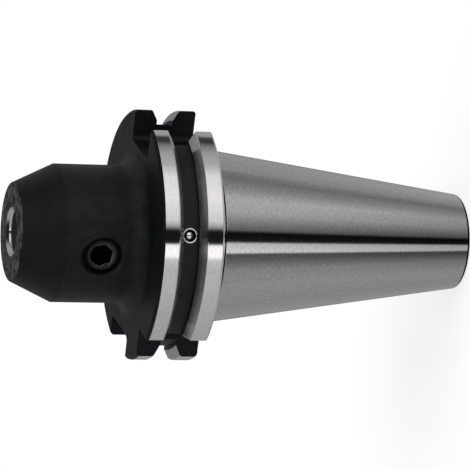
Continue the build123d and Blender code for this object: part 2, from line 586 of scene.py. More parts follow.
@dataclass(frozen=True)
class BlackOxide:
    """Satin black oxide over turned or milled steel, with its lengths in millimetres.

    Attributes:
        name: The material's name.
        colour: Colour where the oxide is thick.
        worn_colour: Colour where it is thin.
        smooth: Roughness of its smooth patches.
        dull: Roughness of its dull patches.
        shine: Level of what it mirrors.
        patches: Patches in a metre.
        patch_share: The patches' part in the mottling.
        grain: Grains in a metre.
        grain_depth: Depth of the grain.
        marks: What the cutter's lines change with.
        line_share: The lines' part in the mottling.
        line_pitch: Distance between the lines.
        line_depth: Depth of the lines.
        relief: How much of grain and lines shows.
        mottle: Levels of the mottling at the first and the second colour.
        painted_shade_ends: Distances from the axis between which painted shade darkens the wear.
        painted_shade_wear: Part of the wear that is left farther out, as painted shade.
    """

    name: str
    colour: Colour = (0.0008, 0.0009, 0.0012)
    worn_colour: Colour = (0.0138, 0.0139, 0.0142)
    smooth: float = 0.44
    dull: float = 0.54
    shine: float = 0.16
    patches: float = 260
    patch_share: float = 0.35
    grain: float = 3400
    grain_depth: float = 0.012
    marks: Marks = Marks.HEIGHT
    line_share: float = 0.15
    line_pitch: float = 0.16
    line_depth: float = 0.004
    relief: float = 0.5
    mottle: tuple = (0.38, 0.62)
    painted_shade_ends: tuple = (18.0, 21.0)
    painted_shade_wear: float = 1.0

    def material(self) -> bpy.types.Material:
        """Build the material.

        Returns:
            The material.
        """
        nodes = MaterialNodes(self.name)
        nodes.set(Specular_IOR_Level=self.shine, IOR=1.5, Metallic=0.0)
        patches = nodes.noise(nodes.place, self.patches, detail=5)
        grain = nodes.noise(nodes.place, self.grain, detail=5, roughness=0.75)
        lines = nodes.marks(self.marks, self.line_pitch)
        mottled = nodes.shared(nodes.shared(grain, patches, self.patch_share), lines, self.line_share)
        # Farther from the axis the wear fades towards the thick colour: painted shade
        ends = tuple(radius * MM for radius in self.painted_shade_ends)
        wear_under_painted_shade = nodes.result(
            "MULTIPLY",
            nodes.ranged(mottled, 0, 1, self.mottle),
            nodes.ranged(nodes.radius, 1, self.painted_shade_wear, ends),
        )
        colour = nodes.blended(wear_under_painted_shade, self.colour, self.worn_colour)
        nodes.coat(colour, nodes.ranged(patches, self.smooth, self.dull))
        nodes.bump(lines, self.line_depth, self.relief)
        nodes.bump(grain, self.grain_depth, self.relief)
        return nodes.material


@dataclass(frozen=True)
class GroundSteel:
    """Bright steel ground round the axis, with fine lines across it.

    Attributes:
        name: The material's name.
        colour: Colour of the bright lines.
        dark_colour: Colour of the dark lines.
        roughness: Roughness on the whole.
        anisotropy: How far the lines draw out what the steel mirrors.
        unevenness: Part by which the roughness differs.
        clouds: Patches of even roughness in a metre.
        specks: Short scratches in a metre.
        speck_share: The scratches' part in the lines' colour.
        mottle: Levels of the lines at the dark and the bright colour.
        line_pitch: Distance between the lines in millimetres.
        line_depth: Depth of the lines in millimetres.
    """

    name: str
    colour: Colour
    dark_colour: Colour
    roughness: float
    anisotropy: float
    unevenness: float = 0.15
    clouds: float = 420
    specks: float = 3800
    speck_share: float = 0.6
    mottle: tuple = (0.38, 0.62)
    line_pitch: float = 0.05
    line_depth: float = 0.0006

    def material(self) -> bpy.types.Material:
        """Build the material.

        Returns:
            The material.
        """
        nodes = MaterialNodes(self.name)
        nodes.set(Metallic=1.0, Anisotropic=self.anisotropy, Anisotropic_Rotation=0.25)
        lines = nodes.marks(Marks.HEIGHT, self.line_pitch, detail=3)
        clouds = nodes.noise(nodes.place, self.clouds, detail=5)
        specks = nodes.noise(nodes.rings(nodes.height, 0.005), self.specks, detail=4, roughness=0.8)
        grain = nodes.ranged(nodes.shared(lines, specks, self.speck_share), 0, 1, self.mottle)
        least, most = (self.roughness * (1 + part) for part in (-self.unevenness, self.unevenness))
        nodes.coat(
            nodes.blended(grain, self.dark_colour, self.colour), nodes.ranged(clouds, least, most)
        )
        tangent = nodes.add("ShaderNodeTangent", direction_type="RADIAL", axis="Z")
        nodes.link(tangent.outputs["Tangent"], nodes.shader.inputs["Tangent"])
        nodes.bump(lines, self.line_depth)
        return nodes.material


@dataclass(frozen=True)
class BrightSteel:
    """Bright steel with little grain, as bored, drawn or polished.

    Attributes:
        name: The material's name.
        colour: Its colour.
        roughness: Roughness on the whole.
        metallic: How much of it is bare metal.
        shade: Part of the colour that is left in its dark clouds.
        unevenness: Part by which the roughness differs.
        clouds: Clouds in a metre.
        line_pitch: Distance between its lines in millimetres.
        line_depth: Depth of its lines in millimetres.
    """

    name: str
    colour: Colour
    roughness: float
    metallic: float = 1.0
    shade: float = 0.86
    unevenness: float = 0.2
    clouds: float = 1500
    line_pitch: float = 0.12
    line_depth: float = 0.0

    def material(self) -> bpy.types.Material:
        """Build the material.

        Returns:
            The material.
        """
        nodes = MaterialNodes(self.name)
        nodes.set(Metallic=self.metallic)
        clouds = nodes.noise(nodes.place, self.clouds, detail=4)
        darker = tuple(self.shade * part for part in self.colour)
        least, most = (self.roughness * (1 + part) for part in (-self.unevenness, self.unevenness))
        colour = nodes.blended(nodes.ranged(clouds, 0, 1), darker, self.colour)
        nodes.coat(colour, nodes.ranged(clouds, least, most))
        lines = nodes.marks(Marks.HEIGHT, self.line_pitch, detail=2, waver=0.0002)
        nodes.bump(lines, self.line_depth)
        return nodes.material


Finish = BlackOxide | GroundSteel | BrightSteel


# Its wear fades to 0.3 beyond 21 mm from the axis: painted shade on the flange and the shoulder
TURNED_OXIDE = BlackOxide("turned_oxide", painted_shade_wear=0.3)
CONE_OXIDE = BlackOxide("cone_oxide", (0.0004, 0.0005, 0.0007), (0.0076, 0.0077, 0.0079))
FACED_OXIDE = BlackOxide(
    "faced_oxide",
    (0.0, 0.0, 0.0002),
    (0.0440, 0.0440, 0.0445),
    shine=0.06,
    grain=420,
    marks=Marks.RADIUS,
    line_pitch=0.3,
    line_depth=0.006,
    mottle=(0.46, 0.54),
)
GROOVE_OXIDE = BlackOxide("groove_oxide", (0.0080, 0.0081, 0.0083), (0.0200, 0.0201, 0.0203))
MILLED_OXIDE = BlackOxide(
    "milled_oxide",
    (0.0016, 0.0026, 0.0034),
    (0.0070, 0.0090, 0.0106),
    shine=0.12,
    marks=Marks.RADIUS,
    line_pitch=0.35,
    line_depth=0.008,
)
GROUND_RIM = GroundSteel(
    "ground_rim", (0.86, 0.85, 0.85), (0.66, 0.65, 0.65), roughness=0.08, anisotropy=0.6
)
GROUND_FLANK = GroundSteel(
    "ground_flank", (0.54, 0.54, 0.54), (0.44, 0.44, 0.44), roughness=0.24, anisotropy=0.95
)
GROUND_TAPER = GroundSteel(
    "ground_taper", (0.66, 0.66, 0.665), (0.38, 0.38, 0.385), roughness=0.09, anisotropy=0.6
)
BORED_STEEL = BrightSteel("bored_steel", (0.76, 0.76, 0.77), 0.16, line_depth=0.0006, metallic=0.985)
MOUTH_STEEL = BrightSteel("mouth_steel", (0.70, 0.70, 0.71), 0.1)
SLEEVE_STEEL = BrightSteel("sleeve_steel", (0.8, 0.8, 0.81), 0.12)
BALL_STEEL = BrightSteel("ball_steel", (0.82, 0.82, 0.83), 0.08)
# Nearly black oxide that hardly mirrors: partly the oxide's own black, partly painted shade, for the
# socket, the sleeve's bore and the small end's chamfer
PAINTED_SHADE_OXIDE = BlackOxide("painted_shade_oxide", (0.0010,) * 3, (0.0025,) * 3, shine=0.03)
WORN_EDGE = BrightSteel("worn_edge", (0.075, 0.075, 0.08), 0.2)
SCREW_OXIDE = BlackOxide(
    "screw_oxide", (0.008, 0.0085, 0.009), (0.014, 0.0145, 0.015), smooth=0.24, dull=0.34, shine=0.22
)
BODY_FINISHES = {
    Surface.TURNED: TURNED_OXIDE,
    Surface.RIM: GROUND_RIM,
    Surface.FLANK: GROUND_FLANK,
    Surface.TAPER: GROUND_TAPER,
    Surface.BORED: BORED_STEEL,
    Surface.FACED: FACED_OXIDE,
    Surface.GROOVE: GROOVE_OXIDE,
    Surface.MILLED: MILLED_OXIDE,
    Surface.CONE: CONE_OXIDE,
    Surface.MOUTH: MOUTH_STEEL,
    Surface.END_CHAMFER: PAINTED_SHADE_OXIDE,
}
SCREW_FINISHES = {
    ScrewSurface.THREAD: SCREW_OXIDE,
    ScrewSurface.SOCKET: PAINTED_SHADE_OXIDE,
    ScrewSurface.LEAD_IN: WORN_EDGE,
}


def dress(
    piece: bpy.types.Object, body: Body, nodes: list[str], finishes: list[Finish]
) -> None:
    """Give a piece its looks and its place in the frame.

    Args:
        piece: The piece.
        body: The body that it rides on.
        nodes: The CAD nodes that it stands for.
        finishes: Its finishes, in the order that its faces count them.
    """
    for finish in finishes:
        piece.data.materials.append(finish.material())
    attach(piece, body.value)
    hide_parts(*nodes)


# Sub-assemblies


# Shares of a face's normal that point away from the axis: a milled wall has less than
# ROUND_OUT, a rim and the taper more than STRAIGHT_OUT, the neck's round more than NECK_OUT,
# and a flank lies between SLANTED_OUT and STEEP_OUT
ROUND_OUT = 0.95
STRAIGHT_OUT = 0.9
STEEP_OUT = 0.6
NECK_OUT = 0.5
SLANTED_OUT = 0.4
# Shares of a face's normal that lie along the axis: nearly none, and most of it
LITTLE_ALONG = 0.1
MUCH_ALONG = 0.8
# How far, in millimetres, a face may be from the surface that it counts to
CLOSE_BY = 0.1


@dataclass
class HolderBody:
    """The one-piece steel body, in millimetres: shank, gripper flange and nose.

    The bores' fields run from the nose down to the small end. A floor is a distance from
    the axis, and a height or an end is a place along it.
    """

    gauge_radius: float = 22.225
    taper_rate: float = 7 / 24
    taper_length: float = 68.4
    small_end_chamfer: float = 0.4
    # The land above the small end's chamfer is painted shade with it
    small_end_land: float = 0.3
    neck_undercut: float = 0.3
    neck_fillet: float = 0.6
    flange_radius: float = 31.775
    flange_rear: float = 3.2
    flange_front: float = 19.1
    rear_chamfer: float = 0.5
    front_chamfer: float = 0.7
    groove_height: float = 11.1
    groove_mouth: float = 7.08
    groove_half_angle: float = radians(30)
    groove_edge: float = 0.2
    relief_width: float = 4.1
    relief_radius: float = 28.125
    relief_fillet: float = 0.15
    keyway_width: float = 16.1
    keyway_floors: tuple = (22.8, -25.0)
    keyway_corner: float = 1.4
    notch_offset: float = 18.5
    notch_corner: float = 0.8
    nose_radius: float = 17.5
    nose_end: float = 50.0
    nose_cone: float = 10.5
    cone_fillet: float = 0.5
    face_radius: float = 12.5
    face_fillet: float = 0.35
    shoulder: float = 4.5
    mouth_radius: float = 6.2
    mouth_depth: float = 0.7
    mouth_fillet: float = 0.3
    throat_fillet: float = 0.9
    tool_radius: float = 5.0
    bore_end: float = 5.0
    coolant_radius: float = 3.5
    core_radius: float = 6.95
    core_end: float = -25.4
    pilot_radius: float = 8.5
    pilot_depth: float = 7.0
    pilot_lead: float = 0.8
    drill_half_angle: float = radians(59)
    clamp_height: float = 30.0
    clamp_hole: float = 4.925
    clamp_mouth: float = 5.9
    plug_azimuths: tuple = (-70.0, 110.0)
    plug_hole: float = 2.0
    plug_floor: float = 24.405
    cross_hole: float = 1.5
    inlet_radius: float = 24.925
    inlet_hole: float = 2.0
    deburr: float = 0.12
    overcut: float = 3.0

    @property
    def ground_end(self) -> float:
        """Height at which the ground taper ends above the small end."""
        return self.small_end_chamfer + self.small_end_land - self.taper_length

    def taper_radius(self, height: float) -> float:
        """Radius of the shank's taper at a height below the gauge plane."""
        return self.gauge_radius + height * self.taper_rate / 2

    def inlet_place(self, azimuth: float) -> Matrix:
        """Place of the coolant inlet at an azimuth, for a shape made on the axis."""
        across = Vector((cos(radians(azimuth)), sin(radians(azimuth)), 0))
        return Matrix.Translation(across * self.inlet_radius * MM)

    def outline(self) -> list[Corner]:
        """List the outside of the turned blank.

        Returns:
            Its corners, from the small end up to the nose.
        """
        small_end = -self.taper_length
        small_radius = self.taper_radius(small_end)
        neck = self.gauge_radius - self.neck_undercut
        rim = self.flange_radius
        outside = [
            Corner(small_radius - self.small_end_chamfer, small_end),
            Corner(small_radius, small_end + self.small_end_chamfer),
            Corner(self.taper_radius(self.ground_end), self.ground_end),
            Corner(self.gauge_radius, 0),
            Corner(neck, self.neck_undercut),
            Corner(neck, self.flange_rear, self.neck_fillet, 5),
            Corner(rim - self.rear_chamfer, self.flange_rear),
            Corner(rim, self.flange_rear + self.rear_chamfer),
        ]
        run = tan(self.groove_half_angle)
        foot = rim - (self.groove_mouth - self.relief_width) / 2 / run
        for side in (-1, 1):
            flank = [
                Corner(rim, self.groove_height + side * (self.groove_mouth / 2 + self.groove_edge)),
                Corner(
                    rim - self.groove_edge,
                    self.groove_height + side * (self.groove_mouth / 2 - self.groove_edge * run),
                ),
                Corner(foot, self.groove_height + side * self.relief_width / 2),
                Corner(
                    self.relief_radius,
                    self.groove_height + side * self.relief_width / 2,
                    self.relief_fillet,
                ),
            ]
            outside += flank if side < 0 else reversed(flank)
        return outside + [
            Corner(rim, self.flange_front - self.front_chamfer),
            Corner(rim - self.front_chamfer, self.flange_front),
            Corner(self.nose_radius, self.flange_front, self.shoulder, 20),
            Corner(self.nose_radius, self.nose_end - self.nose_cone, self.cone_fillet, 5),
            Corner(self.face_radius, self.nose_end, self.face_fillet, 5),
        ]

    def inside(self) -> list[Corner]:
        """List the bores.

        Returns:
            Their corners, from the nose down to the small end.
        """
        steep = 1 / tan(self.drill_half_angle)
        small_end = -self.taper_length
        bore_point = (self.tool_radius - self.coolant_radius) * steep
        core_point = (self.core_radius - self.coolant_radius) * steep
        return [
            Corner(self.mouth_radius, self.nose_end, self.mouth_fillet, 4),
            Corner(self.tool_radius, self.nose_end - self.mouth_depth, self.throat_fillet, 8),
            Corner(self.tool_radius, self.bore_end),
            Corner(self.coolant_radius, self.bore_end - bore_point),
            Corner(self.coolant_radius, self.core_end + core_point),
            Corner(self.core_radius, self.core_end),
            Corner(self.core_radius, small_end + self.pilot_depth),
            Corner(self.pilot_radius, small_end + self.pilot_depth),
            Corner(self.pilot_radius, small_end + self.pilot_lead),
            Corner(self.pilot_radius + self.pilot_lead, small_end),
        ]

    def mill(self, piece: bpy.types.Object) -> None:
        """Mill the two drive keyways and the orientation notch through the flange.

        Args:
            piece: The turned body.
        """
        reach = self.flange_radius + self.overcut
        bottom = self.flange_rear - self.overcut / 2
        top = self.flange_front + self.overcut
        half = self.keyway_width / 2
        for floor in self.keyway_floors:
            ends = sorted((floor, reach if floor > 0 else -reach))
            inner = abs(floor)
            keyway = block(
                Vector((ends[0], -half, bottom)),
                Vector((ends[1], half, top)),
                self.keyway_corner,
                lambda centre: abs(abs(centre.x) - inner) < self.overcut / 2,
            )
            cut_with(piece, keyway)
        near = -self.notch_offset - self.overcut / 3
        notch = block(
            Vector((-reach, -reach, bottom)),
            Vector((-self.notch_offset, -self.notch_offset, top)),
            self.notch_corner,
            lambda centre: centre.x > near and centre.y > near,
        )
        cut_with(piece, notch)

    def drill(self, piece: bpy.types.Object) -> None:
        """Drill the clamp hole, the cross drillings and the coolant inlets.

        Args:
            piece: The milled body.
        """
        sink = self.clamp_mouth - self.clamp_hole
        clamp_hole = turned(
            "clamp_hole",
            [
                Corner(self.clamp_hole, 0),
                Corner(self.clamp_hole, self.nose_radius - sink),
                Corner(self.clamp_mouth + self.overcut, self.nose_radius + self.overcut),
                Corner(0, self.nose_radius + self.overcut),
            ],
            steps=96,
        )
        cut_with(piece, placed(clamp_hole, facing(-90, self.clamp_height)))
        over = self.overcut / 4
        for azimuth in self.plug_azimuths:
            cross = turned(
                "cross_hole",
                [
                    Corner(self.cross_hole, 0),
                    Corner(self.cross_hole, self.plug_floor),
                    Corner(self.plug_hole, self.plug_floor),
                    Corner(self.plug_hole, self.relief_radius),
                    Corner(self.plug_hole + over, self.relief_radius + over),
                    Corner(0, self.relief_radius + over),
                ],
                steps=64,
            )
            cut_with(piece, placed(cross, facing(azimuth, self.groove_height)))
            inlet = turned(
                "inlet",
                [
                    Corner(self.inlet_hole, self.flange_rear - over),
                    Corner(self.inlet_hole, self.groove_height),
                    Corner(0, self.groove_height),
                ],
                steps=48,
            )
            cut_with(piece, placed(inlet, self.inlet_place(azimuth)))

    def ground_places(self, height: float, out: float, outwards: float, along: float) -> tuple:
        """Tell which ground surface a face is on, and the chamfer and land at the small end that get
        painted shade.

        Args:
            height: Its centre's height.
            out: Its centre's distance from the axis.
            outwards: The share of its normal away from the axis.
            along: The share of its normal along the axis.

        Returns:
            Pairs of a surface and whether the face is there.
        """
        edge_reach = self.groove_mouth / 2 + self.groove_edge
        from_groove = abs(height - self.groove_height)
        on_rim = out > self.flange_radius - self.deburr and outwards > STRAIGHT_OUT
        on_groove_edge = (
            out > self.flange_radius - 2 * self.groove_edge
            and from_groove < edge_reach + self.deburr
            and outwards > STEEP_OUT
        )
        on_rear_chamfer = (
            out > self.flange_radius - self.rear_chamfer
            and height < self.flange_rear + self.rear_chamfer
            and outwards > SLANTED_OUT
        )
        on_flank = (
            from_groove < edge_reach and along > MUCH_ALONG and SLANTED_OUT < outwards < STEEP_OUT
        )
        off_taper = abs(out - self.taper_radius(height))
        on_taper = height < CLOSE_BY and off_taper < CLOSE_BY and outwards > STRAIGHT_OUT
        in_neck = 0 <= height < self.flange_rear and out < self.gauge_radius and outwards > NECK_OUT
        return (
            (Surface.RIM, on_rim or on_groove_edge or on_rear_chamfer),
            (Surface.FLANK, on_flank),
            # The small end's chamfer and land are painted shade
            (Surface.END_CHAMFER, height < self.ground_end and outwards > SLANTED_OUT),
            (Surface.TAPER, on_taper or in_neck),
        )

    def bored_places(self, height: float, out: float) -> tuple:
        """Tell which bored surface a face is on.

        Args:
            height: Its centre's height.
            out: Its centre's distance from the axis.

        Returns:
            Pairs of a surface and whether the face is there.
        """
        in_tool_bore = out < self.mouth_radius and height > self.bore_end
        in_stud_hole = out < self.pilot_radius + self.pilot_lead and height < self.core_end
        return (
            (Surface.MOUTH, in_tool_bore and height > self.nose_end - 1.5 * self.mouth_depth),
            (Surface.BORED, in_tool_bore or in_stud_hole),
        )

    def black_places(self, height: float, out: float, outwards: float, along: float) -> tuple:
        """Tell which black surface with a finish of its own a face is on.

        Args:
            height: Its centre's height.
            out: Its centre's distance from the axis.
            outwards: The share of its normal away from the axis.
            along: The share of its normal along the axis.

        Returns:
            Pairs of a surface and whether the face is there.
        """
        face_start = self.nose_end - self.deburr
        off_relief = abs(out - self.relief_radius)
        from_groove = abs(height - self.groove_height)
        in_groove = from_groove < self.relief_width / 2 and off_relief < 2 * CLOSE_BY
        beside_axis = along < LITTLE_ALONG and outwards < ROUND_OUT
        past_keyways = out > min(map(abs, self.keyway_floors)) - self.overcut / 3
        return (
            (Surface.CONE, self.nose_end - self.nose_cone < height < face_start),
            (Surface.FACED, height > face_start and out > self.mouth_radius),
            (Surface.GROOVE, in_groove),
            (
                Surface.MILLED,
                self.flange_rear < height < self.flange_front and beside_axis and past_keyways,
            ),
        )

    def paint(self, piece: bpy.types.Object) -> None:
        """Give each face the finish of the first place that it is on.

        Args:
            piece: The body, already dressed.
        """
        for face in piece.data.polygons:
            centre = face.center / MM
            out = hypot(centre.x, centre.y)
            outwards = face.normal.dot(Vector((centre.x, centre.y, 0)).normalized())
            along = abs(face.normal.z)
            places = (
                *self.ground_places(centre.z, out, outwards, along),
                *self.bored_places(centre.z, out),
                *self.black_places(centre.z, out, outwards, along),
            )
            surface = next((surface for surface, is_there in places if is_there), Surface.TURNED)
            face.material_index = surface.value

    def build(self) -> bpy.types.Object:
        """Turn, mill, deburr and drill the body, and dress it.

        Returns:
            The body.
        """
        piece = turned("turned_body", self.outline() + self.inside())
        self.mill(piece)
        break_edges(piece, self.deburr)
        self.drill(piece)
        finish_shading(piece)
        finishes = [BODY_FINISHES[surface] for surface in Surface]
        dress(piece, Body.HOLDER, ["holder_body"], finishes)
        self.paint(piece)
        return piece


def facing(azimuth: float, height: float) -> Matrix:
    """Place that turns a piece's own Z outwards at an azimuth, at a height in millimetres."""
    turn = Matrix.Rotation(radians(azimuth), 4, "Z") @ Matrix.Rotation(pi / 2, 4, "Y")
    return Matrix.Translation((0, 0, height * MM)) @ turn


@dataclass
class SetScrew:
    """A set screw with a hexagon socket, in millimetres, whose own Z points out of its hole.

    Attributes:
        name: The piece's name.
        node: The CAD node that it stands for.
        body: The body that it rides on.
        radius: Radius over the thread.
        pitch: Pitch of the thread.
        thread_depth: Depth of the thread.
        start: Where its inner end is on its own axis.
        length: Its length.
        chamfer: Chamfer of its ends.
        socket: Width across the socket's flats.
        socket_depth: Depth of the socket.
        lead: How far the socket's lead-in runs past its corners.
        socket_turn: Degrees that the socket is turned in its screw.
        steps: Facets round the screw.
        end_spare: Turns of thread that are left beyond each end before it is cut.
    """

    name: str
    node: str
    body: Body
    radius: float
    pitch: float
    thread_depth: float
    start: float
    length: float
    chamfer: float
    socket: float
    socket_depth: float
    lead: float
    socket_turn: float = 0.0
    steps: int = 72
    end_spare: float = 0.2713

    @property
    def top(self) -> float:
        """Where its outer end is on its own axis."""
        return self.start + self.length

    @property
    def socket_corner(self) -> float:
        """Distance of the socket's corners from the axis."""
        return self.socket / sqrt(3)

    def thread(self) -> bpy.types.Object:
        """Sweep one tooth up its helix, which makes a rod longer than the screw.

        Returns:
            The threaded rod.
        """
        clear_selection()
        root = self.radius - self.thread_depth
        crest, flat = self.pitch / 16, self.pitch / 8
        side = self.pitch / 2 - flat
        heights = (0, crest, crest + side, crest + side + flat, self.pitch - crest, self.pitch)
        radii = (self.radius, self.radius, root, root, self.radius, self.radius)
        bpy.ops.mesh.primitive_circle_add(vertices=3, radius=MM)
        rod = bpy.context.object
        rod.name = rod.data.name = self.name
        bpy.ops.object.mode_set(mode="EDIT")
        bpy.ops.mesh.select_all(action="SELECT")
        bpy.ops.mesh.merge(type="CENTER")
        bpy.ops.transform.translate(value=(self.radius * MM, 0, (self.start - 2 * self.pitch) * MM))
        tooth = tuple(zip(radii, heights))
        for (radius, height), (next_radius, next_height) in zip(tooth, tooth[1:]):
            step = ((next_radius - radius) * MM, 0, (next_height - height) * MM)
            bpy.ops.mesh.extrude_region_move(TRANSFORM_OT_translate={"value": step})
        modify(
            rod,
            "SCREW",
            angle=2 * pi,
            screw_offset=self.pitch * MM,
            iterations=int(self.length / self.pitch) + 4,
            steps=self.steps,
            render_steps=self.steps,
            use_merge_vertices=False,
        )
        bpy.ops.object.mode_set(mode="EDIT")
        bpy.ops.mesh.select_all(action="SELECT")
        bpy.ops.mesh.remove_doubles(threshold=WELD * MM)
        spare = self.pitch * self.end_spare
        for end, is_top in ((self.start - spare, False), (self.top + spare, True)):
            bpy.ops.mesh.select_all(action="SELECT")
            bpy.ops.mesh.bisect(
                plane_co=(0, 0, end * MM),
                plane_no=(0, 0, 1),
                use_fill=True,
                clear_inner=not is_top,
                clear_outer=is_top,
                threshold=WELD * MM / 10,
            )
        bpy.ops.mesh.select_all(action="SELECT")
        bpy.ops.mesh.normals_make_consistent(inside=False)
        clear_selection()
        return rod

    def blank(self) -> bpy.types.Object:
        """Turn the screw's form, with its ends chamfered.

        Returns:
            The form, a little wider than the thread.
        """
        over = self.pitch / 8
        corners = [
            Corner(self.radius - self.chamfer, self.start),
            Corner(self.radius, self.start + self.chamfer),
            Corner(self.radius + over, self.start + self.chamfer + over),
            Corner(self.radius + over, self.top - self.chamfer - over),
            Corner(self.radius, self.top - self.chamfer),
            Corner(self.radius - self.chamfer, self.top, 0.1),
            Corner(0, self.top),
        ]
        return turned("blank", corners, self.steps)

    def lead_in(self) -> bpy.types.Object:
        """Turn the cone that opens the socket.

        Returns:
            The cone.
        """
        mouth = self.socket_corner + self.lead
        slope = tan(radians(30))
        corners = [
            Corner(self.socket / 4, self.top - (mouth - self.socket / 4) * slope),
            Corner(mouth + self.pitch, self.top + self.pitch * slope),
            Corner(0, self.top + self.pitch * slope),
        ]
        return turned("lead_in", corners, self.steps)

    def broach(self) -> bpy.types.Object:
        """Make the hexagon that cuts the socket, with the edges between its flats rounded.

        Returns:
            The hexagon, halfway out of the screw.
        """
        clear_selection()
        bpy.ops.mesh.primitive_cylinder_add(
            vertices=6,
            radius=self.socket_corner * MM,
            depth=2 * self.socket_depth * MM,
            location=(0, 0, self.top * MM),
            rotation=(0, 0, radians(30 + self.socket_turn)),
        )
        hexagon = bpy.context.object
        bpy.ops.object.mode_set(mode="EDIT")
        bpy.ops.mesh.select_all(action="DESELECT")
        shape = bmesh.from_edit_mesh(hexagon.data)
        for edge in shape.edges:
            edge.select_set(abs(edge.verts[0].co.z - edge.verts[1].co.z) > self.socket_depth * MM)
        bmesh.update_edit_mesh(hexagon.data)
        bpy.ops.mesh.bevel(offset=self.socket / 40 * MM, segments=3)
        clear_selection()
        return hexagon

    def paint(self, screw: bpy.types.Object) -> None:
        """Give the socket painted shade, and its lead-in, rubbed by wear, a finish of its own.

        Args:
            screw: The screw, still on its own axis.
        """
        for face in screw.data.polygons:
            middle = face.center / MM
            depth = self.top - middle.z
            in_reach = hypot(middle.x, middle.y) < self.socket_corner + self.lead
            if in_reach and self.lead / 10 < depth < self.socket_depth + self.lead:
                # The socket's walls and its deep faces get painted shade
                is_deep = abs(face.normal.z) < LITTLE_ALONG or depth > self.socket_depth / 2
                surface = ScrewSurface.SOCKET if is_deep else ScrewSurface.LEAD_IN
                face.material_index = surface.value

    def build(self, place: Matrix) -> bpy.types.Object:
        """Cut the thread's rod to the screw's form, broach its socket and dress it.

        Args:
            place: Place of the screw's own axis.

        Returns:
            The screw.
        """
        screw = self.thread()
        cut_with(screw, self.blank(), Keep.SHARED)
        cut_with(screw, self.lead_in())
        cut_with(screw, self.broach())
        finishes = [SCREW_FINISHES[surface] for surface in ScrewSurface]
        dress(screw, self.body, [self.node], finishes)
        self.paint(screw)
        placed(screw, place)
        finish_shading(screw)
        return screw


@dataclass
class ExpanderPlug:
    """A sleeve pressed into a cross drilling, and the ball that spreads it, in millimetres.

    Attributes:
        number: The plug's number.
        azimuth: Degrees about the axis at which it sits.
        height: Its height.
        face: Distance of the sleeve's outer face from the axis.
        length: The sleeve's length.
        radius: The sleeve's radius.
        bore: Radius of the sleeve's bore.
        floor: Thickness of the bore's floor.
        ball_radius: The ball's radius.
        ball_rings: Facets from pole to pole of the ball.
        edge: Round at the sleeve's inner end.
        rim: Rounds at its outer face.
    """

    number: int
    azimuth: float
    height: float = 11.1
    face: float = 28.005
    length: float = 3.6
    radius: float = 2.0
    bore: float = 1.5
    floor: float = 0.3
    ball_radius: float = 1.48
    ball_rings: int = 32
    edge: float = 0.12
    rim: float = 0.24

    @property
    def seat(self) -> float:
        """Distance of the sleeve's inner end from the axis."""
        return self.face - self.length

    def sleeve(self) -> bpy.types.Object:
        """Turn the sleeve.

        Returns:
            The sleeve on its own axis.
        """
        corners = [
            Corner(self.radius, self.seat, self.edge),
            Corner(self.radius, self.face, self.rim, 6),
            Corner(self.bore, self.face, self.rim, 6),
            Corner(self.bore, self.seat + self.floor),
            Corner(0, self.seat + self.floor),
        ]
        return turned(f"plug_sleeve_{self.number}", corners, steps=96)

    def ball(self) -> bpy.types.Object:
        """Turn the ball, which sits on the floor of the sleeve's bore.

        Returns:
            The ball on the sleeve's own axis.
        """
        centre = self.seat + self.floor + self.ball_radius
        corners = []
        for ring in range(1, self.ball_rings):
            turn = pi * ring / self.ball_rings
            corners.append(Corner(self.ball_radius * sin(turn), centre - self.ball_radius * cos(turn)))
        corners.append(Corner(0, centre + self.ball_radius))
        return turned(f"plug_ball_{self.number}", corners, steps=64)

    def build(self) -> list[bpy.types.Object]:
        """Make the sleeve and its ball, put them in place and dress them.

        Returns:
            The sleeve and the ball.
        """
        place = facing(self.azimuth, self.height)
        sleeve, ball = self.sleeve(), self.ball()
        for piece, slot, finishes, node in (
            (sleeve, Slot.PLUG, [SLEEVE_STEEL, PAINTED_SHADE_OXIDE], f"expander_sleeve_{self.number}"),
            (ball, Slot.BALL, [BALL_STEEL], f"expander_ball_{self.number}"),
        ):
            placed(piece, place)
            finish_shading(piece)
            dress(piece, Body.HOLDER, [node], finishes)
        # The sleeve's bore gets painted shade
        for face in sleeve.data.polygons:
            middle = place.inverted() @ face.center / MM
            inside = hypot(middle.x, middle.y) < self.bore + self.edge / 4
            face.material_index = int(inside and middle.z < self.face - self.rim)
        return [sleeve, ball]


# Studio


@dataclass(frozen=True)
class Card:
    """A stop of the light that the metal mirrors.

    Attributes:
        turn: Degrees about the axis, away from the camera's own azimuth.
        level: How bright the card is there.
    """

    turn: float
    level: float


# What upright metal mirrors, once round the holder
UPRIGHT_CARDS = tuple(
    Card(turn, level)
    for turn, level in (
        (-180, 0.28), (-165, 0.30), (-148, 0.42), (-110, 0.42), (-77, 0.46), (-48, 0.54),
        (-30, 0.57), (-22, 0.68), (-19, 1.25), (-9, 1.20), (-7.0, 0.01), (5.0, 0.01), (8.5, 0.42),
        (14, 0.80), (34, 1.00), (56, 0.90), (68, 0.52), (82, 0.40), (92, 0.19), (95, 0.05),
        (102, 0.05), (105, 0.40), (148, 0.44), (165, 0.30), (180, 0.28),
    )
)
# What the taper mirrors, which looks lower
LOW_CARDS = tuple(
    Card(turn, level)
    for turn, level in (
        (-180, 0.50), (-150, 0.42), (-110, 0.42), (-77, 0.47), (-50, 0.42), (-40, 0.27),
        (-31, 0.17), (-25, 0.135), (-22.5, 1.20), (-10, 0.98), (-7.4, 0.02), (6.3, 0.005),
        (9.8, 0.20), (20, 0.38), (36, 0.68), (56, 0.72), (72, 0.42), (90, 0.26), (104, 0.42),
        (130, 0.54), (180, 0.50),
    )
)


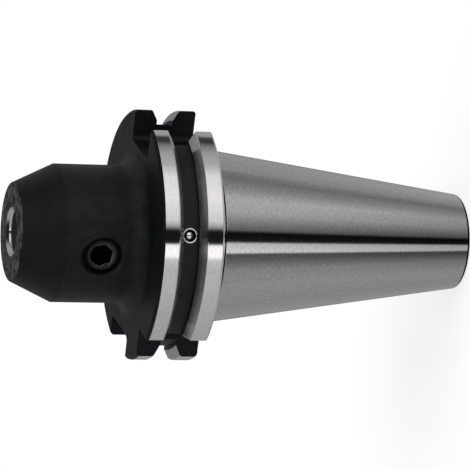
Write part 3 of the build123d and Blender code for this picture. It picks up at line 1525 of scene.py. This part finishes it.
@dataclass(frozen=True)
class Lamp:
    """A square soft lamp that looks at the holder and that metal doesn't mirror.

    Attributes:
        name: Its name.
        azimuth: Degrees about the axis at which it hangs.
        watts: Its power.
        height: Its height in millimetres.
        reach: Its distance from the axis in millimetres.
        size: Its width in millimetres.
    """

    name: str
    azimuth: float
    watts: float
    height: float = 1500.0
    reach: float = 900.0
    size: float = 1200.0

    def hang(self) -> bpy.types.Object:
        """Hang the lamp.

        Returns:
            The lamp.
        """
        data = bpy.data.lights.new(self.name, "AREA")
        data.size = self.size * MM
        data.energy = self.watts
        lamp = bpy.data.objects.new(self.name, data)
        turn = radians(self.azimuth)
        place = Vector((cos(turn) * self.reach, sin(turn) * self.reach, self.height)) * MM
        lamp.location = place
        lamp.rotation_euler = (-place).to_track_quat("-Z", "Y").to_euler()
        lamp.visible_glossy = False
        bpy.context.scene.collection.objects.link(lamp)
        return lamp


LAMPS = (Lamp("key_lamp", -20, 22), Lamp("fill_lamp", 160, 10))


def rises(angles: tuple[float, float]) -> tuple[float, float]:
    """Heights of two directions of length 1, from their degrees above the horizon."""
    return sin(radians(angles[0])), sin(radians(angles[1]))


@dataclass
class Studio:
    """The floor, the lamps, the light that metal mirrors, and the camera.

    Sizes are in millimetres and angles in degrees. The camera was placed so that the
    holder fills the frame as in the photograph: it looks at the holder lying on its side,
    so it is rolled by a quarter turn. The last fields say what metal mirrors at each angle
    above the horizon: the upright metal's cards, below low_ends the taper's cards, with a
    dimmer belt in them, and above high_ends a dark ceiling.
    """

    floor_height: float
    camera_azimuth: float = -70.0
    camera_distance: float = 815.31
    camera_height: float = 234.06
    pan: float = 16.581
    tilt: float = 0.0286
    roll: float = 1.2376
    focal_pixels: float = 3319.3
    image_pixels: float = 470.0
    sensor: float = 36.0
    near_clip: float = 10.0
    floor_reach: float = 6000.0
    paper: Colour = (0.86, 0.86, 0.86)
    paper_glow: float = 0.72
    soft_light: float = 0.55
    low_ends: tuple = (-20, -30)
    belt_top: tuple = (-33.0, -37.0)
    belt_foot: tuple = (-40.0, -48.0)
    belt_level: float = 0.5
    high_ends: tuple = (50, 70)
    ceiling: Colour = (0.015, 0.015, 0.015)

    def camera(self) -> bpy.types.Object:
        """Place the camera at the photograph's viewing angle.

        Returns:
            The camera.
        """
        turn = radians(self.camera_azimuth)
        towards = Vector((cos(turn), sin(turn), 0))
        side = Vector((-sin(turn), cos(turn), 0))
        pan, tilt, roll = radians(self.pan), radians(self.tilt), radians(self.roll)
        ahead = -cos(pan) * cos(tilt) * towards + sin(tilt) * side
        ahead += Vector((0, 0, -sin(pan) * cos(tilt)))
        right = ahead.cross(side).normalized()
        up = right.cross(ahead)
        right, up = cos(roll) * right + sin(roll) * up, cos(roll) * up - sin(roll) * right
        data = bpy.data.cameras.new("camera")
        data.sensor_width = self.sensor
        data.lens = self.focal_pixels * self.sensor / self.image_pixels
        data.clip_start = self.near_clip * MM
        camera = bpy.data.objects.new("camera", data)
        bpy.context.scene.collection.objects.link(camera)
        turned_axes = Matrix((right, up, -ahead)).transposed().to_4x4()
        place = towards * self.camera_distance + Vector((0, 0, self.camera_height))
        camera.matrix_world = Matrix.Translation(place * MM) @ turned_axes
        bpy.context.scene.camera = camera
        return camera

    def floor(self) -> bpy.types.Object:
        """Lay a flat floor of pale paper, which glows for the camera and which metal misses.

        Returns:
            The floor.
        """
        clear_selection()
        bpy.ops.mesh.primitive_plane_add(
            size=2 * self.floor_reach * MM, location=(0, 0, self.floor_height * MM)
        )
        floor = bpy.context.object
        floor.name = floor.data.name = "paper_floor"
        bpy.ops.object.transform_apply(location=True)
        clear_selection()
        nodes = MaterialNodes("paper")
        nodes.set(Base_Color=(*self.paper, 1), Roughness=0.9, Specular_IOR_Level=0.1)
        rays = nodes.add("ShaderNodeLightPath").outputs
        glow = nodes.add("ShaderNodeEmission").outputs["Emission"]
        clear = nodes.add("ShaderNodeBsdfTransparent").outputs["BSDF"]
        share = nodes.result("MULTIPLY", rays["Is Camera Ray"], self.paper_glow)
        seen = nodes.layered(share, nodes.shader.outputs["BSDF"], glow)
        mirrored = nodes.layered(rays["Is Glossy Ray"], seen, clear)
        nodes.link(mirrored, nodes.tree.nodes["Material Output"].inputs["Surface"])
        floor.data.materials.append(nodes.material)
        return floor

    def cards(self, nodes: Nodes, turn: Socket, cards: tuple[Card, ...]) -> Socket:
        """Put a ramp round the holder with one stop for each card.

        Args:
            nodes: The world's nodes.
            turn: The turn about the axis, from 0 to 1.
            cards: The stops, in order of their turn.

        Returns:
            The ramp's colour.
        """
        ramp = nodes.add("ShaderNodeValToRGB")
        stops = ramp.color_ramp.elements
        while len(stops) < len(cards):
            stops.new(0.5)
        for stop, card in zip(stops, cards):
            stop.position = (card.turn + 180) / 360
            stop.color = (card.level, card.level, card.level, 1)
        nodes.link(turn, ramp.inputs["Fac"])
        return ramp.outputs["Color"]

    def mirrored(self, nodes: Nodes) -> Socket:
        """Work out what metal mirrors in each direction.

        Args:
            nodes: The world's nodes.

        Returns:
            The mirrored colour.
        """
        to_camera = nodes.add("ShaderNodeVectorRotate", rotation_type="Z_AXIS")
        to_camera.inputs["Angle"].default_value = radians(-self.camera_azimuth)
        direction = nodes.add("ShaderNodeTexCoord").outputs["Generated"]
        nodes.link(direction, to_camera.inputs["Vector"])
        angle, height = nodes.around(to_camera.outputs["Vector"])
        turn = nodes.ranged(angle, 0, 1, (-pi, pi))
        dimmed = nodes.add("ShaderNodeVectorMath", operation="SCALE")
        belt = nodes.result(
            "MAXIMUM",
            nodes.ranged(height, 1, self.belt_level, rises(self.belt_top)),
            nodes.ranged(height, self.belt_level, 1, rises(self.belt_foot)),
        )
        nodes.link(self.cards(nodes, turn, LOW_CARDS), dimmed.inputs[0])
        nodes.link(belt, dimmed.inputs["Scale"])
        depth, rise = (
            nodes.ranged(height, 0, 1, rises(ends), interpolation_type="SMOOTHSTEP")
            for ends in (self.low_ends, self.high_ends)
        )
        upright = self.cards(nodes, turn, UPRIGHT_CARDS)
        sides = nodes.blended(depth, upright, dimmed.outputs["Vector"])
        return nodes.blended(rise, sides, self.ceiling)

    def world(self) -> None:
        """Light the holder softly from all round, and give the metal its bands."""
        world = bpy.data.worlds.new("studio")
        bpy.context.scene.world = world
        world.use_nodes = True
        nodes = Nodes(world.node_tree)
        nodes.tree.nodes.clear()
        metal, soft, white = (nodes.add("ShaderNodeBackground") for _ in range(3))
        nodes.link(self.mirrored(nodes), metal.inputs["Color"])
        for light, strength in ((soft, self.soft_light), (white, 1.0)):
            light.inputs["Color"].default_value = (1, 1, 1, 1)
            light.inputs["Strength"].default_value = strength
        rays = nodes.add("ShaderNodeLightPath").outputs
        lit = nodes.layered(
            rays["Is Glossy Ray"], soft.outputs["Background"], metal.outputs["Background"]
        )
        seen = nodes.layered(rays["Is Camera Ray"], lit, white.outputs["Background"])
        nodes.link(seen, nodes.add("ShaderNodeOutputWorld").inputs["Surface"])

    def build(self) -> None:
        """Set the whole studio up."""
        bpy.context.scene.view_settings.view_transform = "Standard"
        self.camera()
        self.floor()
        self.world()
        for lamp in LAMPS:
            lamp.hang()


def report(piece: bpy.types.Object) -> None:
    """Report a finished piece."""
    log.info("%s: %d faces", piece.name, len(piece.data.polygons))


def main() -> None:
    """Build each sub-assembly, then the studio, and report them."""
    logging.basicConfig(level=logging.INFO, format="%(name)s: %(message)s")
    body = HolderBody()
    report(body.build())
    clamp = SetScrew(
        name="m10_set_screw",
        node="clamp_screw",
        body=Body.CLAMP_SCREW,
        radius=4.875,
        pitch=1.5,
        thread_depth=0.92,
        start=5.7,
        length=10.0,
        chamfer=1.15,
        socket=5.0,
        socket_depth=4.6,
        lead=0.2,
        socket_turn=22,
    )
    report(clamp.build(facing(-90, body.clamp_height)))
    for number, azimuth in enumerate(body.plug_azimuths, start=1):
        for piece in ExpanderPlug(number, azimuth).build():
            report(piece)
        inlet = SetScrew(
            name=f"m4_set_screw_{number}",
            node=f"coolant_screw_{number}",
            body=Body.HOLDER,
            radius=1.95,
            pitch=0.7,
            thread_depth=0.43,
            start=-7.5,
            length=4.0,
            chamfer=0.4,
            socket=2.0,
            socket_depth=2.0,
            lead=0.15,
            steps=48,
        )
        upside_down = Matrix.Rotation(pi, 4, "X")
        report(inlet.build(body.inlet_place(azimuth) @ upside_down))
    Studio(floor_height=-body.taper_length).build()


if __name__ == "__main__":
    main()
